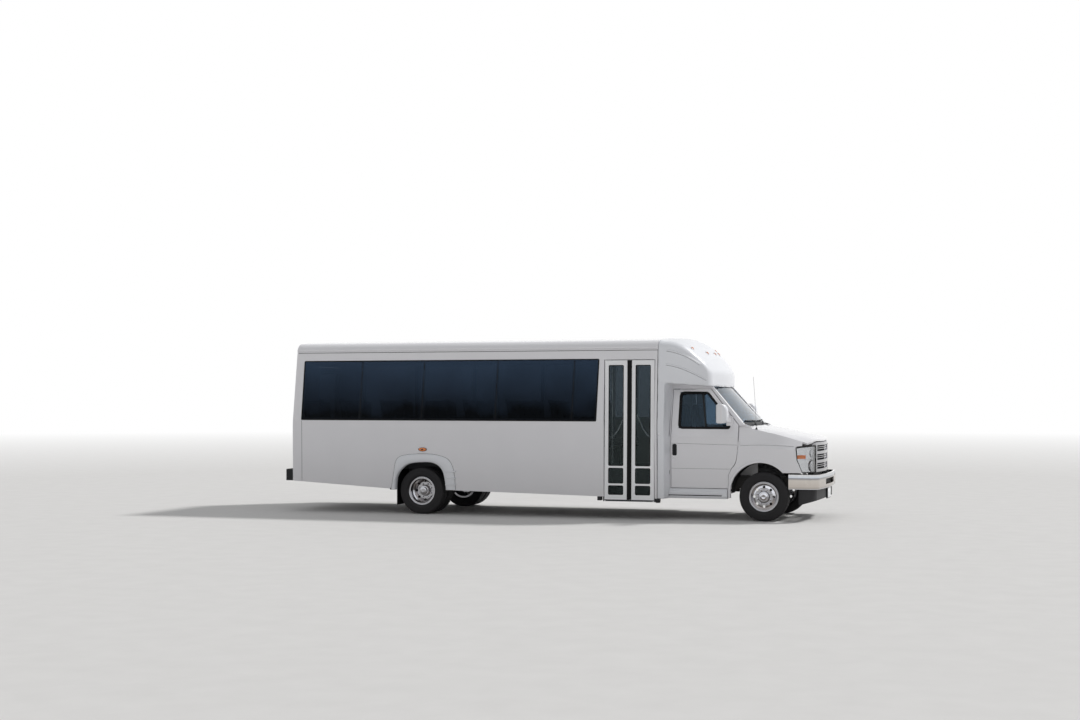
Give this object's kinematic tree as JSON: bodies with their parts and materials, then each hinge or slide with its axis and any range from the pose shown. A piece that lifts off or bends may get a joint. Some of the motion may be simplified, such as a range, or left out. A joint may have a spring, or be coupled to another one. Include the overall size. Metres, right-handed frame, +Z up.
{
  "type": "shuttle minibus",
  "caption": "White shuttle minibus: long passenger body with a dark window band on a cutaway van chassis, folding entry doors, dual rear wheels.",
  "frame": {"origin": "on the ground under the centre of the overall box", "axes": "+X forward, +Y to the driver's side, +Z up"},
  "size_m": [8.81, 2.58, 2.812],
  "materials": {
    "white_paint": "gloss",
    "white_plastic": "satin",
    "chassis_black": "matte",
    "engine_grey": "rough",
    "exhaust_steel": "dull",
    "tyre": "matte",
    "wheel_chrome": "polished",
    "floor_grey": "matte",
    "dark_glass": "clear",
    "cab_glass": "clear",
    "black_rubber": "matte",
    "black_trim": "matte",
    "lamp_red": "gloss",
    "lamp_amber": "gloss",
    "lamp_clear": "clear",
    "door_frame": "satin",
    "rail_steel": "satin",
    "seat_vinyl": "satin",
    "dash_plastic": "matte",
    "grille_chrome": "polished",
    "bumper_chrome": "polished",
    "valance_grey": "matte"
  },
  "bodies": {
    "bus": {"body_floor": "floor_grey", "cab_seats": "seat_vinyl", "cab_shell": "white_paint", "chassis_frame": "chassis_black", "dashboard": "dash_plastic", "engine_block": "engine_grey", "entry_pivots": "rail_steel", "entry_steps": "floor_grey", "exhaust": "exhaust_steel", "front_axle": "chassis_black", "front_bumper": "bumper_chrome", "front_cap": "white_paint", "front_fenders": "white_paint", "front_valance": "valance_grey", "fuel_tank": "chassis_black", "grab_rails": "rail_steel", "grille": "grille_chrome", "headlamps": "lamp_clear", "left_wall": "white_paint", "marker_lamps": "lamp_amber", "mud_flaps": "black_rubber", "radiator": "chassis_black", "rear_axle": "chassis_black", "rear_bumper": "black_trim", "rear_door_pins": "rail_steel", "rear_wall": "white_paint", "right_wall": "white_paint", "roof": "white_paint", "running_boards": "white_plastic", "saloon_seats": "seat_vinyl", "side_windows": "dark_glass", "tail_lamps": "lamp_red", "wheel_boxes": "floor_grey", "wheel_flares": "white_plastic", "windshield": "cab_glass"},
    "knuckle_left_body": {"knuckle_left": "chassis_black"},
    "knuckle_right_body": {"knuckle_right": "chassis_black"},
    "front_wheel_left": {"front_tyre_left": "tyre", "front_rim_left": "wheel_chrome"},
    "front_wheel_right": {"front_tyre_right": "tyre", "front_rim_right": "wheel_chrome"},
    "rear_wheels_left": {"rear_tyres_left": "tyre", "rear_rims_left": "wheel_chrome"},
    "rear_wheels_right": {"rear_tyres_right": "tyre", "rear_rims_right": "wheel_chrome"},
    "entry_door_rear": {"entry_leaf_rear": "door_frame", "entry_glass_rear": "dark_glass"},
    "entry_door_front": {"entry_leaf_front": "door_frame", "entry_glass_front": "dark_glass"},
    "cab_door_left_body": {"cab_door_left": "white_paint", "cab_door_glass_left": "cab_glass"},
    "cab_door_right_body": {"cab_door_right": "white_paint", "cab_door_glass_right": "cab_glass"},
    "hood_body": {"hood": "white_paint"},
    "rear_door_body": {"rear_door": "white_paint", "rear_door_glass": "dark_glass"},
    "steering_wheel_body": {"steering_wheel": "dash_plastic"}
  },
  "joints": [
    {"name": "steer_left", "type": "hinge", "parent": "bus", "child": "knuckle_left_body", "pos_m": [3.535, 0.742, 0.372], "axis": [0, 0, 1], "range_deg": [-35, 35]},
    {"name": "steer_right", "type": "hinge", "parent": "bus", "child": "knuckle_right_body", "pos_m": [3.535, -0.742, 0.372], "axis": [0, 0, 1], "range_deg": [-35, 35]},
    {"name": "spin_front_left", "type": "hinge", "parent": "knuckle_left_body", "child": "front_wheel_left", "pos_m": [3.535, 0.879, 0.372], "axis": [0, 1, 0], "continuous": true},
    {"name": "spin_front_right", "type": "hinge", "parent": "knuckle_right_body", "child": "front_wheel_right", "pos_m": [3.535, -0.879, 0.372], "axis": [0, 1, 0], "continuous": true},
    {"name": "spin_rear_left", "type": "hinge", "parent": "bus", "child": "rear_wheels_left", "pos_m": [-1.945, 0.928, 0.372], "axis": [0, 1, 0], "continuous": true},
    {"name": "spin_rear_right", "type": "hinge", "parent": "bus", "child": "rear_wheels_right", "pos_m": [-1.945, -0.928, 0.372], "axis": [0, 1, 0], "continuous": true},
    {"name": "entry_rear_leaf", "type": "hinge", "parent": "bus", "child": "entry_door_rear", "pos_m": [1.119, -1.17646, 1.3], "axis": [0, 0.0215, 0.9998], "range_deg": [-88, 0]},
    {"name": "entry_front_leaf", "type": "hinge", "parent": "bus", "child": "entry_door_front", "pos_m": [1.886, -1.17646, 1.3], "axis": [0, 0.0215, 0.9998], "range_deg": [0, 88]},
    {"name": "cab_door_left_hinge", "type": "hinge", "parent": "bus", "child": "cab_door_left_body", "pos_m": [3.1485, 1, 1.2], "axis": [0, 0, 1], "range_deg": [-65, 0]},
    {"name": "cab_door_right_hinge", "type": "hinge", "parent": "bus", "child": "cab_door_right_body", "pos_m": [3.1485, -1, 1.2], "axis": [0, 0, 1], "range_deg": [0, 65]},
    {"name": "hood_hinge", "type": "hinge", "parent": "bus", "child": "hood_body", "pos_m": [3.3315, 0, 1.44], "axis": [0, 1, 0], "range_deg": [-50, 0]},
    {"name": "rear_door_hinge", "type": "hinge", "parent": "bus", "child": "rear_door_body", "pos_m": [-4.198, -0.436, 1.4], "axis": [0, 0, 1], "range_deg": [0, 95]},
    {"name": "steering_wheel_turn", "type": "hinge", "parent": "bus", "child": "steering_wheel_body", "pos_m": [2.855, 0.5, 1.35], "axis": [-0.8211, 0, 0.5708], "range_deg": [-640, 640]}
  ],
  "couplings": [
    {"joint": "steer_right", "follows": "steer_left", "ratio": 1},
    {"joint": "steering_wheel_turn", "follows": "steer_left", "ratio": 18}
  ]
}
